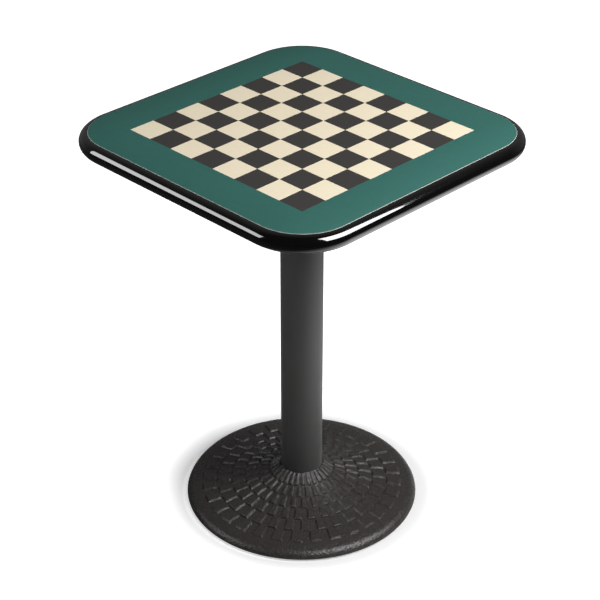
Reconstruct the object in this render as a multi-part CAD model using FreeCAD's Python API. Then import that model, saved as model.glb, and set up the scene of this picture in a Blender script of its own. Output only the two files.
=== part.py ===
import FreeCAD, Part
import math
import os

# A square games table on one round column and a round cast foot.
#
# The top is a board core with a laminate face: a green field with an 8 x 8 playing board let into it, a plain
# sheet underneath, and a half-round black resin band cast round the edge.  A cast spider with four channel
# arms is screwed under the core.  The steel column stands in a socket in the foot and carries the spider, and
# one long tie rod through the column clamps spider, column and foot together.  The foot is an open-bottomed
# casting with ribs underneath and a field of raised, staggered cobbles on top.  It stands on four levelling
# glides, each a pad on a threaded stud that screws into a boss of the foot.
#
# Millimetres.  +Z is up, the origin is on the floor under the column, and the sides of the top run along X
# and Y.  The glides are screwed fully in.

Vector = FreeCAD.Vector
AXIS = Vector(0, 0, 1)
FULL_TURN = 360.0
QUARTER_TURN = 90.0

# Whole table
table_height = 749.3
overrun = 1.0  # how far every cutter runs past the face it opens

# Top: laminate face, board core and resin band
square_side = 50.8
squares_per_side = 8
border_width = 76.2  # green margin between the board and the resin band
field_corner_radius = 88.9
top_thickness = 31.75
laminate_thickness = 1.2
backer_thickness = 0.8
inlay_joint = 0.1  # cut width between one inlaid square and the next
band_width = 15.875  # how far the half-round band stands out from the laminate
tongue_depth = 6.0  # resin key that fills the groove round the core
tongue_height = 9.0

# Spider: the four-armed casting under the top
spider_reach = 203.0
arm_root_width = 56.0
arm_tip_width = 36.0
arm_root_depth = 26.0
arm_tip_depth = 10.0
flange_thickness = 5.0
arm_wall = 4.5
spider_hub_diameter = 94.0
spider_web = 8.0
spider_socket_depth = 18.0
nut_recess_diameter = 44.0
nut_recess_depth = 19.0
arms = 4
screws_per_arm = 2
screw_pitch = 62.0

# Screws that hold the spider to the core
screw_diameter = 5.5
screw_length = 21.0
screw_head_diameter = 11.5
screw_head_height = 4.0
screw_head_chamfer = 1.2
screw_point_length = 4.0
screw_clearance = 0.4  # round the shank, in the flange
pilot_clearance = 0.05  # round the shank, in the core and the backer

# Column
column_diameter = 76.2
column_wall = 2.4
socket_clearance = 0.4

# Tie rod, its nuts and washers
rod_diameter = 12.7
rod_clearance = 0.5
rod_end_chamfer = 1.2
rod_projection = 4.0  # rod left showing past each nut
nut_across_flats = 19.05
nut_height = 11.1
nut_clearance = 0.1
washer_diameter = 34.9
washer_thickness = 2.8

# Foot casting
foot_diameter = 431.8
rim_floor_gap = 3.0
rim_thickness = 9.0
rim_height = 14.5  # height of the rim's upper edge above the floor, before it is rounded
rim_round = 9.0
rim_foot_chamfer = 1.5
foot_wall = 7.0
foot_hub_height = 64.0  # where the casting meets the column
foot_hub_foot_height = 48.5  # at the outer edge of the first ring of cobbles
foot_field_edge_height = 20.0  # at the outer edge of the last ring
foot_field_sag = 2.2  # how far the field dips below a straight slope
foot_socket_depth = 14.0
foot_web = 12.0
foot_boss_diameter = 100.0  # solid hub under the casting
foot_ribs = 8
rib_thickness = 5.0
rib_rim_lift = 3.0

# Cobbles on the foot
cobble_field_diameter = 374.6
cobble_rings = 6
first_ring_width = 21.8  # the ring that stands against the column
cobbles_per_ring = 32
cobble_share = 0.57  # of the pitch round a ring
cobble_height = 3.0
cobble_draft = 0.8  # how far the sides lean in
cobble_root = 1.5  # how far a cobble reaches into the casting
cobble_joint = 1.2  # between one ring of cobbles and the next
cobble_turn = 9.0  # degrees; how the casting happens to be turned on the column

# Levelling glides
glides = 4
glide_turn = 45.0  # degrees, so that the glides stand under the corners of the top
glide_circle_diameter = 330.0
glide_travel = 6.0
glide_engagement = 5.2  # stud left in the boss with the glide screwed right out
glide_tip_clearance = 0.7
glide_thread_clearance = 0.15
glide_pad_diameter = 32.0
glide_pad_thickness = 4.0
glide_pad_chamfer = 0.8
glide_socket_depth = 2.5
glide_seat_gap = 0.3
stud_diameter = 8.0
stud_chamfer = 0.8
boss_diameter = 24.0
lock_nut_across_flats = 13.0
lock_nut_height = 4.0
nut_chamfer_share = 0.08  # of a nut's width across its corners

# Places worked out from the sizes above
board_side = square_side * squares_per_side
field_side = board_side + 2 * border_width
field_half = field_side / 2
top_z = table_height
laminate_z = top_z - laminate_thickness
under_z = top_z - top_thickness
core_z = under_z + backer_thickness
spider_top_z = under_z
spider_web_top_z = spider_top_z - nut_recess_depth
spider_web_z = spider_web_top_z - spider_web
spider_foot_z = spider_web_z - spider_socket_depth
arm_tip_centre = spider_reach - arm_tip_width / 2
screw_radii = [arm_tip_centre - screw_pitch * step for step in range(screws_per_arm)]
foot_radius = foot_diameter / 2
foot_seat_z = foot_hub_height - foot_socket_depth
foot_web_z = foot_seat_z - foot_web
rim_inner_radius = foot_radius - rim_thickness
socket_radius = column_diameter / 2 + socket_clearance
cobble_field_radius = cobble_field_diameter / 2
first_ring_radius = socket_radius + first_ring_width
cobble_ring_width = (cobble_field_radius - first_ring_radius) / (cobble_rings - 1)
ring_radii = [socket_radius] + [first_ring_radius + cobble_ring_width * step for step in range(cobble_rings)]
glide_radius = glide_circle_diameter / 2
boss_z = glide_pad_thickness + glide_seat_gap + lock_nut_height
stud_top_z = boss_z + glide_travel + glide_engagement


def cylinder(diameter, low, high, x=0.0, y=0.0):
    """Upright cylinder between two heights."""
    return Part.makeCylinder(diameter / 2, high - low, Vector(x, y, low))


def profile(corners):
    """Closed outline in the XZ plane from (radius, height, rounding) corners."""
    places = [Vector(radius, 0, height) for radius, height, rounding in corners]
    ends = []
    for index, (radius, height, rounding) in enumerate(corners):
        corner = places[index]
        if not rounding:
            ends.append((corner, None, corner))
            continue
        back = (places[index - 1] - corner).normalize()
        ahead = (places[(index + 1) % len(places)] - corner).normalize()
        half = back.getAngle(ahead) / 2
        reach = rounding / math.tan(half)
        inward = (back + ahead).normalize() * (rounding / math.sin(half) - rounding)
        ends.append((corner + back * reach, corner + inward, corner + ahead * reach))
    edges = []
    for index, (start, middle, end) in enumerate(ends):
        if middle:
            edges.append(Part.Arc(start, middle, end).toShape())
        edges.append(Part.LineSegment(end, ends[(index + 1) % len(ends)][0]).toShape())
    return Part.Wire(edges)


def revolved(outline):
    """Solid turned about the column's axis from (radius, height) or (radius, height, rounding) corners."""
    corners = [(corner + (0,))[:3] for corner in outline]
    return Part.Face(profile(corners)).revolve(Vector(0, 0, 0), AXIS, FULL_TURN)


def turned(shape, degrees):
    """Copy of a shape, turned about the column's axis."""
    copy = shape.copy()
    copy.rotate(Vector(0, 0, 0), AXIS, degrees)
    return copy


def moved(shape, x, y, z):
    """Copy of a shape, moved."""
    copy = shape.copy()
    copy.translate(Vector(x, y, z))
    return copy


def polar(radius, degrees):
    """X and Y of a point at a radius and an angle."""
    angle = math.radians(degrees)
    return radius * math.cos(angle), radius * math.sin(angle)


def one_solid(shape):
    """The single solid that a boolean operation leaves."""
    solids = shape.Solids
    if len(solids) != 1:
        raise ValueError("expected one solid, found %d" % len(solids))
    return solids[0]


def rounded_square(side, corner_radius, z):
    """Outline of a square with round corners, about the column's axis."""
    half = side / 2
    straight = half - corner_radius
    bulge = straight + corner_radius * math.sqrt(0.5)
    edges = []
    for quarter in range(4):
        turn = FreeCAD.Rotation(AXIS, QUARTER_TURN * quarter)
        start = turn.multVec(Vector(half, -straight, z))
        end = turn.multVec(Vector(half, straight, z))
        middle = turn.multVec(Vector(bulge, bulge, z))
        corner_end = turn.multVec(Vector(straight, half, z))
        edges.append(Part.LineSegment(start, end).toShape())
        edges.append(Part.Arc(end, middle, corner_end).toShape())
    return Part.Wire(edges)


def rounded_slab(side, corner_radius, low, high):
    """Flat slab with round corners."""
    face = Part.Face(rounded_square(side, corner_radius, low))
    return face.extrude(Vector(0, 0, high - low))


def square_prism(side, low, high, x=0.0, y=0.0):
    """Upright square block about a centre."""
    return Part.makeBox(side, side, high - low, Vector(x - side / 2, y - side / 2, low))


def screw_places():
    """X and Y of every screw that holds the spider to the core."""
    places = []
    for arm in range(arms):
        for radius in screw_radii:
            places.append(polar(radius, FULL_TURN / arms * arm + FULL_TURN / arms / 2))
    return places


def glide_places():
    """X and Y of every glide."""
    return [polar(glide_radius, glide_turn + FULL_TURN / glides * place) for place in range(glides)]


def pilot_holes(low, high):
    """Holes for the screw shanks in the layers of the top."""
    diameter = screw_diameter + 2 * pilot_clearance
    return [cylinder(diameter, low, high, x, y) for x, y in screw_places()]


# Top

def green_field():
    """Laminate sheet with a square window for the board."""
    sheet = rounded_slab(field_side, field_corner_radius, laminate_z, top_z)
    window = square_prism(board_side, laminate_z - overrun, top_z + overrun)
    return one_solid(sheet.cut(window))


def inlaid_squares(dark):
    """The squares of one colour; the near left corner of the board is dark."""
    side = square_side - inlay_joint
    first = -board_side / 2 + square_side / 2
    squares = []
    for column in range(squares_per_side):
        for row in range(squares_per_side):
            if ((column + row) % 2 == 0) == dark:
                x = first + square_side * column
                y = first + square_side * row
                squares.append(square_prism(side, laminate_z, top_z, x, y))
    return Part.makeCompound(squares)


def tongue_heights():
    """Lowest and highest level of the resin key, about the middle of the top's thickness."""
    middle = (top_z + under_z) / 2
    return middle - tongue_height / 2, middle + tongue_height / 2


def top_core():
    """Board core with a groove round its edge and blind pilot holes underneath."""
    core = rounded_slab(field_side, field_corner_radius, core_z, laminate_z)
    low, high = tongue_heights()
    rim = rounded_slab(field_side + 2 * overrun, field_corner_radius + overrun, low, high)
    inner = rounded_slab(field_side - 2 * tongue_depth, field_corner_radius - tongue_depth, low, high)
    groove = rim.cut(inner)
    hole_top = spider_top_z - flange_thickness + screw_length
    return one_solid(core.cut([groove] + pilot_holes(core_z - overrun, hole_top)))


def backer_sheet():
    """Plain laminate under the core."""
    sheet = rounded_slab(field_side, field_corner_radius, under_z, core_z)
    return one_solid(sheet.cut(pilot_holes(under_z - overrun, core_z + overrun)))


def edge_band():
    """Half-round resin band, cast round the core with a key in its groove."""
    low, high = tongue_heights()
    middle = (top_z + under_z) / 2
    start_y = -(field_half - field_corner_radius)
    top = Vector(field_half, start_y, top_z)
    nose = Vector(field_half + band_width, start_y, middle)
    bottom = Vector(field_half, start_y, under_z)
    key = [
        bottom,
        Vector(field_half, start_y, low),
        Vector(field_half - tongue_depth, start_y, low),
        Vector(field_half - tongue_depth, start_y, high),
        Vector(field_half, start_y, high),
        top,
    ]
    section = Part.Wire([Part.Arc(top, nose, bottom).toShape()] + Part.makePolygon(key).Edges)
    path = rounded_square(field_side, field_corner_radius, middle)
    return one_solid(path.makePipeShell([section], True, True))


# Spider

def arm_plan(inset, low, high):
    """Prism of one arm's tapered outline along +X, drawn in by an inset."""
    root = arm_root_width / 2 - inset
    tip = arm_tip_width / 2 - inset
    edges = [
        Part.LineSegment(Vector(0, root, low), Vector(0, -root, low)).toShape(),
        Part.LineSegment(Vector(0, -root, low), Vector(arm_tip_centre, -tip, low)).toShape(),
        Part.Arc(
            Vector(arm_tip_centre, -tip, low),
            Vector(arm_tip_centre + tip, 0, low),
            Vector(arm_tip_centre, tip, low),
        ).toShape(),
        Part.LineSegment(Vector(arm_tip_centre, tip, low), Vector(0, root, low)).toShape(),
    ]
    return Part.Face(Part.Wire(edges)).extrude(Vector(0, 0, high - low))


def spider_arm():
    """Channel arm along +X: a flange under the top, with a wall down each side and round the tip."""
    root_z = spider_top_z - arm_root_depth
    hub_edge = spider_hub_diameter / 2
    side = [
        Vector(0, -arm_root_width, spider_top_z),
        Vector(spider_reach + overrun, -arm_root_width, spider_top_z),
        Vector(spider_reach + overrun, -arm_root_width, spider_top_z - arm_tip_depth),
        Vector(hub_edge, -arm_root_width, root_z),
        Vector(0, -arm_root_width, root_z),
    ]
    taper = Part.Face(Part.makePolygon(side + side[:1])).extrude(Vector(0, 2 * arm_root_width, 0))
    arm = arm_plan(0, root_z - overrun, spider_top_z).common(taper)
    channel = arm_plan(arm_wall, root_z - 2 * overrun, spider_top_z - flange_thickness)
    return arm.cut(channel)


def spider():
    """Four arms on a hub with a socket for the column and a recess for the rod's upper nut."""
    hub = cylinder(spider_hub_diameter, spider_foot_z, spider_top_z)
    arm = spider_arm()
    step = FULL_TURN / arms
    body = hub.fuse([turned(arm, step / 2 + step * place) for place in range(arms)])
    cutters = [
        cylinder(nut_recess_diameter, spider_web_top_z, spider_top_z + overrun),
        cylinder(rod_diameter + 2 * rod_clearance, spider_foot_z - overrun, spider_top_z),
        cylinder(2 * socket_radius, spider_foot_z - overrun, spider_web_z),
    ]
    hole = screw_diameter + 2 * screw_clearance
    for x, y in screw_places():
        cutters.append(cylinder(hole, spider_top_z - flange_thickness - overrun, spider_top_z + overrun, x, y))
    return one_solid(body.cut(cutters).removeSplitter())


def spider_screw():
    """Pan-head screw, head down, with its seat at height zero and its point up."""
    head = screw_head_diameter / 2
    shank = screw_diameter / 2
    return revolved([
        (0, -screw_head_height),
        (head - screw_head_chamfer, -screw_head_height),
        (head, screw_head_chamfer - screw_head_height),
        (head, 0),
        (shank, 0),
        (shank, screw_length - screw_point_length),
        (0, screw_length),
    ])


def spider_screws():
    """The eight screws, seated under the spider's flange."""
    screw = spider_screw()
    seat = spider_top_z - flange_thickness
    return Part.makeCompound([moved(screw, x, y, seat) for x, y in screw_places()])


# Column and tie rod

def column_tube():
    """Steel tube from the foot's socket to the spider's."""
    outside = cylinder(column_diameter, foot_seat_z, spider_web_z)
    bore = cylinder(column_diameter - 2 * column_wall, foot_seat_z - overrun, spider_web_z + overrun)
    return one_solid(outside.cut(bore))


def hex_nut(across_flats, height, hole_diameter, low):
    """Hexagon nut with chamfered corners."""
    corner = across_flats / math.sqrt(3)
    corners = [Vector(*polar(corner, FULL_TURN / 6 * side), low) for side in range(6)]
    block = Part.Face(Part.makePolygon(corners + corners[:1])).extrude(Vector(0, 0, height))
    chamfer = 2 * corner * nut_chamfer_share
    bevel = revolved([
        (0, low),
        (corner - chamfer, low),
        (corner, low + chamfer / 2),
        (corner, low + height - chamfer / 2),
        (corner - chamfer, low + height),
        (0, low + height),
    ])
    hole = cylinder(hole_diameter, low - overrun, low + height + overrun)
    return one_solid(block.common(bevel).cut(hole))


def tie_rod():
    """Threaded rod through the column, with a chamfer at each end."""
    low = foot_web_z - washer_thickness - nut_height - rod_projection
    high = spider_web_top_z + washer_thickness + nut_height + rod_projection
    radius = rod_diameter / 2
    return revolved([
        (0, low),
        (radius - rod_end_chamfer, low),
        (radius, low + rod_end_chamfer),
        (radius, high - rod_end_chamfer),
        (radius - rod_end_chamfer, high),
        (0, high),
    ])


def rod_washer(low):
    """Flat washer on the tie rod."""
    plate = cylinder(washer_diameter, low, low + washer_thickness)
    hole = cylinder(rod_diameter + 2 * rod_clearance, low - overrun, low + washer_thickness + overrun)
    return one_solid(plate.cut(hole))


def rod_nut(low):
    """Hexagon nut on the tie rod."""
    return hex_nut(nut_across_flats, nut_height, rod_diameter + 2 * nut_clearance, low)


# Foot casting

def ground(radius):
    """Height of the casting's plain upper surface at a radius: a steep hub, a field that flattens, a rim."""
    if radius <= first_ring_radius:
        share = (radius - socket_radius) / (first_ring_radius - socket_radius)
        return foot_hub_height + (foot_hub_foot_height - foot_hub_height) * share
    if radius <= cobble_field_radius:
        share = (radius - first_ring_radius) / (cobble_field_radius - first_ring_radius)
        slope = foot_hub_foot_height + (foot_field_edge_height - foot_hub_foot_height) * share
        return slope - 4 * foot_field_sag * share * (1 - share)
    share = (radius - cobble_field_radius) / (foot_radius - cobble_field_radius)
    return foot_field_edge_height + (rim_height - foot_field_edge_height) * share


def foot_shell():
    """Open-bottomed dome with a rounded rim and a solid hub that takes the column and the tie rod."""
    rod_hole = rod_diameter / 2 + rod_clearance
    hub = foot_boss_diameter / 2
    upper = [(radius, ground(radius)) for radius in ring_radii]
    under = [radius for radius in reversed(ring_radii) if hub < radius < rim_inner_radius]
    outline = [(rod_hole, foot_web_z), (rod_hole, foot_seat_z), (socket_radius, foot_seat_z)]
    outline += upper
    outline += [(foot_radius, rim_height, rim_round), (foot_radius, rim_floor_gap + rim_foot_chamfer)]
    outline += [(foot_radius - rim_foot_chamfer, rim_floor_gap), (rim_inner_radius, rim_floor_gap)]
    outline += [(rim_inner_radius, ground(rim_inner_radius) - foot_wall)]
    outline += [(radius, ground(radius) - foot_wall) for radius in under]
    outline += [(hub, ground(hub) - foot_wall), (hub, foot_web_z)]
    return revolved(outline)


def rib():
    """Upright web under the casting along +X, from the hub to the rim."""
    hub = foot_boss_diameter / 2 - rib_thickness
    buried = foot_wall / 2
    radii = [hub] + [radius for radius in ring_radii if hub < radius < rim_inner_radius] + [rim_inner_radius]
    outline = [(radius, ground(radius) - buried) for radius in radii]
    outline += [(rim_inner_radius + rim_thickness / 2, ground(rim_inner_radius) - foot_wall)]
    outline += [(rim_inner_radius + rim_thickness / 2, rim_floor_gap + rib_rim_lift)]
    outline += [(rim_inner_radius, rim_floor_gap + rib_rim_lift), (hub, foot_web_z)]
    corners = [Vector(radius, -rib_thickness / 2, height) for radius, height in outline]
    return Part.Face(Part.makePolygon(corners + corners[:1])).extrude(Vector(0, rib_thickness, 0))


def cobble(inner, outer):
    """Raised cobble along +X between two radii: a flat-topped block with leaning sides, parallel to the ground."""
    low = inner + cobble_joint / 2
    high = outer - cobble_joint / 2
    spread = math.tan(math.radians(FULL_TURN / cobbles_per_ring * cobble_share / 2))
    lean = math.sqrt(1 + spread * spread)
    slope = (ground(outer) - ground(inner)) / (outer - inner)

    def corners(lift, inset):
        places = []
        for x, side in ((low + inset, -1), (high - inset, -1), (high - inset, 1), (low + inset, 1)):
            y = side * (x * spread - inset * lean)
            places.append(Vector(x, y, ground(inner) + slope * (x - inner) + lift))
        return places

    floor = corners(-cobble_root, -cobble_draft * cobble_root / cobble_height)
    top = corners(cobble_height, cobble_draft)
    faces = [floor, top]
    for place in range(4):
        after = (place + 1) % 4
        faces.append([floor[place], floor[after], top[after], top[place]])
    shell = Part.Shell([Part.Face(Part.makePolygon(face + face[:1])) for face in faces])
    block = Part.Solid(shell)
    if block.Volume < 0:
        block.reverse()
    return block


def cobbles():
    """Every cobble, each ring staggered by half a pitch against the next."""
    pitch = FULL_TURN / cobbles_per_ring
    blocks = []
    for ring in range(cobble_rings):
        block = cobble(ring_radii[ring], ring_radii[ring + 1])
        stagger = pitch / 2 * ((cobble_rings - 1 - ring) % 2)
        for place in range(cobbles_per_ring):
            blocks.append(turned(block, cobble_turn + stagger + pitch * place))
    return blocks


def foot_casting():
    """Shell, ribs, glide bosses and cobbles in one casting, with its holes."""
    body = foot_shell()
    ribs = [turned(rib(), FULL_TURN / foot_ribs * place) for place in range(foot_ribs)]
    buried = ground(glide_radius) - foot_wall / 2
    bosses = [cylinder(boss_diameter, boss_z, buried, x, y) for x, y in glide_places()]
    body = one_solid(body.fuse(ribs + bosses))
    body = one_solid(body.fuse(cobbles()))
    hole = stud_diameter + 2 * glide_thread_clearance
    hole_top = stud_top_z + glide_tip_clearance
    return one_solid(body.cut([cylinder(hole, boss_z - overrun, hole_top, x, y) for x, y in glide_places()]))


# Levelling glides

def glide_pad(x, y):
    """Moulded pad with bevelled edges and a socket for the stud's foot."""
    radius = glide_pad_diameter / 2
    socket = stud_diameter / 2 + glide_thread_clearance
    socket_z = glide_pad_thickness - glide_socket_depth
    pad = revolved([
        (0, 0),
        (radius - glide_pad_chamfer, 0),
        (radius, glide_pad_chamfer),
        (radius, glide_pad_thickness - glide_pad_chamfer),
        (radius - glide_pad_chamfer, glide_pad_thickness),
        (socket, glide_pad_thickness),
        (socket, socket_z),
        (0, socket_z),
    ])
    return moved(pad, x, y, 0)


def glide_stud(x, y):
    """Threaded stud, seated in the pad and reaching up into the boss."""
    radius = stud_diameter / 2
    low = glide_pad_thickness - glide_socket_depth
    stud = revolved([
        (0, low),
        (radius, low),
        (radius, stud_top_z - stud_chamfer),
        (radius - stud_chamfer, stud_top_z),
        (0, stud_top_z),
    ])
    return moved(stud, x, y, 0)


def lock_nuts():
    """One thin nut up against each boss."""
    hole = stud_diameter + 2 * glide_thread_clearance
    nut = hex_nut(lock_nut_across_flats, lock_nut_height, hole, boss_z - lock_nut_height)
    return Part.makeCompound([moved(nut, x, y, 0) for x, y in glide_places()])


def pieces():
    """Every piece of the table by name."""
    upper_washer_z = spider_web_top_z
    lower_washer_z = foot_web_z - washer_thickness
    made = {
        "green_field": green_field(),
        "light_squares": inlaid_squares(False),
        "dark_squares": inlaid_squares(True),
        "top_core": top_core(),
        "backer_sheet": backer_sheet(),
        "edge_band": edge_band(),
        "spider": spider(),
        "spider_screws": spider_screws(),
        "column_tube": column_tube(),
        "tie_rod": tie_rod(),
        "upper_washer": rod_washer(upper_washer_z),
        "upper_nut": rod_nut(upper_washer_z + washer_thickness),
        "lower_washer": rod_washer(lower_washer_z),
        "lower_nut": rod_nut(lower_washer_z - nut_height),
        "foot_casting": foot_casting(),
        "lock_nuts": lock_nuts(),
    }
    for number, (x, y) in enumerate(glide_places(), start=1):
        made["glide_pad_%d" % number] = glide_pad(x, y)
        made["glide_stud_%d" % number] = glide_stud(x, y)
    return made


def main():
    os.makedirs("parts", exist_ok=True)
    for name, shape in pieces().items():
        if not shape.isValid():
            raise ValueError("%s is not a valid shape" % name)
        shape.exportStep("parts/%s.step" % name)
        print("%-16s %3d solids %12.1f mm3" % (name, len(shape.Solids), shape.Volume))


main()
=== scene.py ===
import math

import bmesh
import bpy
from mathutils import Matrix, Vector


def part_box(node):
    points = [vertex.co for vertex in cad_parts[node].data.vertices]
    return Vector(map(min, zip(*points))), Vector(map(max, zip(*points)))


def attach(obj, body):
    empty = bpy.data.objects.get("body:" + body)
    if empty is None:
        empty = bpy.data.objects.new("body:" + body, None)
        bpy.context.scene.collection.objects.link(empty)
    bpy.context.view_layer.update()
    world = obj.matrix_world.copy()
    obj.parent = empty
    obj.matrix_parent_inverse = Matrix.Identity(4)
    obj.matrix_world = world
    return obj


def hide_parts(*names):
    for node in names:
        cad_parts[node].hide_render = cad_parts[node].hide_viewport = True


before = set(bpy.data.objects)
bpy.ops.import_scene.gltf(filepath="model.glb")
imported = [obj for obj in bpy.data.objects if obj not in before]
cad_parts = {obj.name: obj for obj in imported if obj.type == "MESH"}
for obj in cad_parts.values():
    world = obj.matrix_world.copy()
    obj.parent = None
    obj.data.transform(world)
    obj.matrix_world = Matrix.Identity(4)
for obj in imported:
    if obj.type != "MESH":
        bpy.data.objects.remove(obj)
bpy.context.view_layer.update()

bl_info = {
    "name": "Cobbled-foot games table",
    "version": (1, 0, 0),
    "blender": (4, 5, 0),
    "location": "View3D > Sidebar > Games table",
    "description": "Models and finishes the pieces of a square pedestal games table",
    "category": "Object",
}

FULL_TURN = 2 * math.pi
GLIDES = 4
ROW = 8  # squares in a row of the board
MERGED = 0.00001  # points closer than this are one
COLOUR_A, COLOUR_B, COLOUR_RESULT = 6, 7, 2  # sockets of a Mix node that mixes colours
THREAD_DEPTH = 0.62  # depth of a thread, as a share of its pitch
STUD_HOLE = 0.00415  # radius of the holes that take a glide stud
UPWARD = 0.6  # least height of the normal of a face that belongs to a cobble's top


def linear(hex_colour):
    """Linear RGB of an sRGB hex colour."""
    channels = [int(hex_colour[place:place + 2], 16) / 255 for place in (1, 3, 5)]
    return tuple(c / 12.92 if c <= 0.04045 else ((c + 0.055) / 1.055) ** 2.4 for c in channels)


def length(name, description, millimetres):
    """A length that a user can change, given in millimetres and kept in metres."""
    return bpy.props.FloatProperty(name=name, description=description, default=millimetres / 1000, min=0.0,
                                   unit="LENGTH", subtype="DISTANCE", precision=5)


def colour(name, description, hex_colour):
    """A colour that a user can change."""
    return bpy.props.FloatVectorProperty(name=name, description=description, default=linear(hex_colour),
                                         size=3, min=0.0, max=1.0, subtype="COLOR")


def count(name, description, number):
    """A whole number that a user can change."""
    return bpy.props.IntProperty(name=name, description=description, default=number, min=1)


def share(name, description, number, most=1.0):
    """A plain number that a user can change."""
    return bpy.props.FloatProperty(name=name, description=description, default=number, min=0.0, max=most)


class TopSettings(bpy.types.PropertyGroup):
    """Sizes and colours of the top"""

    square: length("Square", "Side of one playing square", 50.8)
    joint: length("Joint", "Gap between one inlaid square and the next", 0.35)
    ease: length("Ease", "Softening of the edges of an inlaid square", 0.1)
    corner: length("Corner", "Radius of the laminate's corners", 88.9)
    trim: length("Trim", "Bevel that is trimmed on the laminate's outer edge", 0.5)
    key_depth: length("Key depth", "How far the resin reaches into the core", 6.0)
    key_height: length("Key height", "Height of the resin that reaches into the core", 9.0)
    field_colour: colour("Field", "Green laminate", "#2E625A")
    light_colour: colour("Light squares", "Cream laminate", "#ECE0C5")
    dark_colour: colour("Dark squares", "Charcoal laminate", "#383634")
    # pale colour given to the laminate's trimmed bevel
    trim_colour: colour("Trimmed edge", "Paper layers of the laminate's edge", "#CACAC4")
    resin_colour: colour("Resin", "Black cast resin edge", "#050505")
    chip_colour: colour("Core", "Wood chips of the core", "#A98C62")
    backer_colour: colour("Backer", "Laminate under the core", "#3A2C24")


class StandSettings(bpy.types.PropertyGroup):
    """Sizes and colours of the column, spider and hardware"""

    wall: length("Column wall", "Wall of the steel tube", 2.4)
    tube_edge: length("Tube edge", "Rounding of the tube's cut ends", 0.5)
    casting_edge: length("Casting edge", "Rounding of the spider's edges", 0.8)
    rod_pitch: length("Rod pitch", "Thread pitch of the tie rod", 1.95)
    stud_pitch: length("Stud pitch", "Thread pitch of a glide stud", 1.25)
    threaded: length("Threaded end", "Threaded length at each end of the tie rod", 34.0)
    recess: length("Recess", "Span of the cross recess in a screw head", 5.4)
    column_colour: colour("Column", "Powder coat on the column", "#484847")
    zinc_colour: colour("Zinc", "Zinc plating", "#B9BDBE")
    nylon_colour: colour("Nylon", "Moulded glide pads", "#1D1D1D")


class FootSettings(bpy.types.PropertyGroup):
    """Sizes and colour of the cast foot"""

    hub_height: length("Hub height", "Where the casting meets the column", 64.0)
    ring_height: length("First ring height", "At the outer edge of the first ring of cobbles", 48.5)
    edge_height: length("Field edge height", "At the outer edge of the last ring of cobbles", 20.0)
    sag: length("Sag", "How far the field dips below a straight slope", 5.5)
    hollow_sag: length("Hollow sag", "The same for the underside of the casting", 2.2)
    socket: length("Socket", "Radius of the column's socket", 38.5)
    first_ring: length("First ring", "Outer radius of the first ring of cobbles", 60.3)
    field: length("Field", "Outer radius of the last ring of cobbles", 188.5)
    seat: length("Seat", "Height of the column's seat", 50.0)
    web: length("Web", "Underside of the hub's floor", 38.0)
    rod_hole: length("Rod hole", "Radius of the hole for the tie rod", 6.85)
    hub: length("Hub", "Radius of the solid hub", 50.0)
    wall: length("Wall", "Thickness of the casting", 7.0)
    rim_wall: length("Rim", "Thickness of the rim", 9.0)
    rim_height: length("Rim height", "Upper edge of the rim before it is rounded", 15.3)
    rim_flare: length("Rim flare", "How far the rim's lower corner stands out before it is rounded", 0.66)
    rim_lean: length("Rim lean", "How far the rim's upper edge stands back from its foot", 4.0)
    rim_round: length("Rim rounding", "Rounding of the rim's upper edge", 17.5)
    rim_foot: length("Rim foot", "Rounding of the rim's lower edge", 1.5)
    rib: length("Rib", "Thickness of a rib", 5.0)
    boss: length("Boss", "Radius of a glide boss", 12.0)
    cobble_height: length("Cobble height", "How far a cobble stands up", 3.0)
    cobble_draft: length("Cobble draft", "How far a cobble's sides and inner end lean in", 2.4)
    cobble_end: length("Cobble end", "How far its outer end leans in, where another ring follows", 1.2)
    cobble_root: length("Cobble root", "How far a cobble reaches into the casting", 1.5)
    cobble_joint: length("Cobble joint", "Between one ring of cobbles and the next", 1.2)
    cobble_edge: length("Cobble edge", "Bevel on the edges of a cobble's top", 0.5)
    flute_edge: length("Flute edge", "Rounding along the flutes of the first ring", 1.3)
    rings: count("Rings", "Rings of cobbles", 6)
    per_ring: count("Cobbles", "Cobbles in a ring", 32)
    ribs: count("Ribs", "Ribs under the casting", 8)
    cobble_share: share("Cobble share", "Share of the pitch round a ring that a cobble fills", 0.61)
    flute_share: share("Flute share", "The same in the first ring", 0.76)
    ring_growth: share("Ring growth", "Width of a ring of cobbles against the one inside it", 1.065, 2.0)
    turn: bpy.props.FloatProperty(name="Turn", description="How the casting is turned on the column",
                                  default=math.radians(8.3), subtype="ANGLE", unit="ROTATION")
    iron_colour: colour("Iron", "Black paint on the castings", "#393634")


class StageSettings(bpy.types.PropertyGroup):
    """Floor, light and camera"""

    floor_colour: colour("Floor", "White sweep", "#F4F4F4")
    # Painted light on the floor round the foot: a glow that fills the rim's contact shadow, is lowest where
    # the foot's shadow shows most and rises to full white further out
    painted_contact_glow: share("Contact glow", "Whiteness of the unlit floor close to the rim", 0.62)
    painted_near_glow: share("Near glow", "Whiteness of the unlit floor where the shadow shows most", 0.16)
    glow: share("Glow", "Whiteness of the unlit floor and backdrop", 1.0)
    contact: length("Contact", "How far the floor keeps its contact glow, from the rim's middle", 209.0)
    contact_end: length("Contact end", "Where the floor has come down to its near glow", 219.0)
    shadow_start: length("Shadow start", "Where the floor begins to whiten, from the shadow's middle", 226.0)
    shadow_end: length("Shadow end", "Where the floor is fully white", 290.0)
    key: share("Key", "Radiance of the softbox in front", 9.8, 50.0)
    fill: share("Fill", "Radiance of the softbox behind, at the left", 4.0, 50.0)
    dim: share("Dim", "Radiance of the dim studio", 0.08)
    wall: share("Wall", "Radiance of the wall behind the table", 0.1)
    pool: share("Pool", "Share of the white floor that shows in reflections under the key", 0.65)
    pool_radius: length("Pool radius", "How far that share reaches before the studio is dark", 1350.0)
    shell: length("Studio radius", "Radius of the dark studio", 12000.0)
    lens: bpy.props.FloatProperty(name="Lens", description="Focal length on a 36 mm sensor, in millimetres",
                                  default=101.62, min=10.0, max=400.0)


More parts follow.
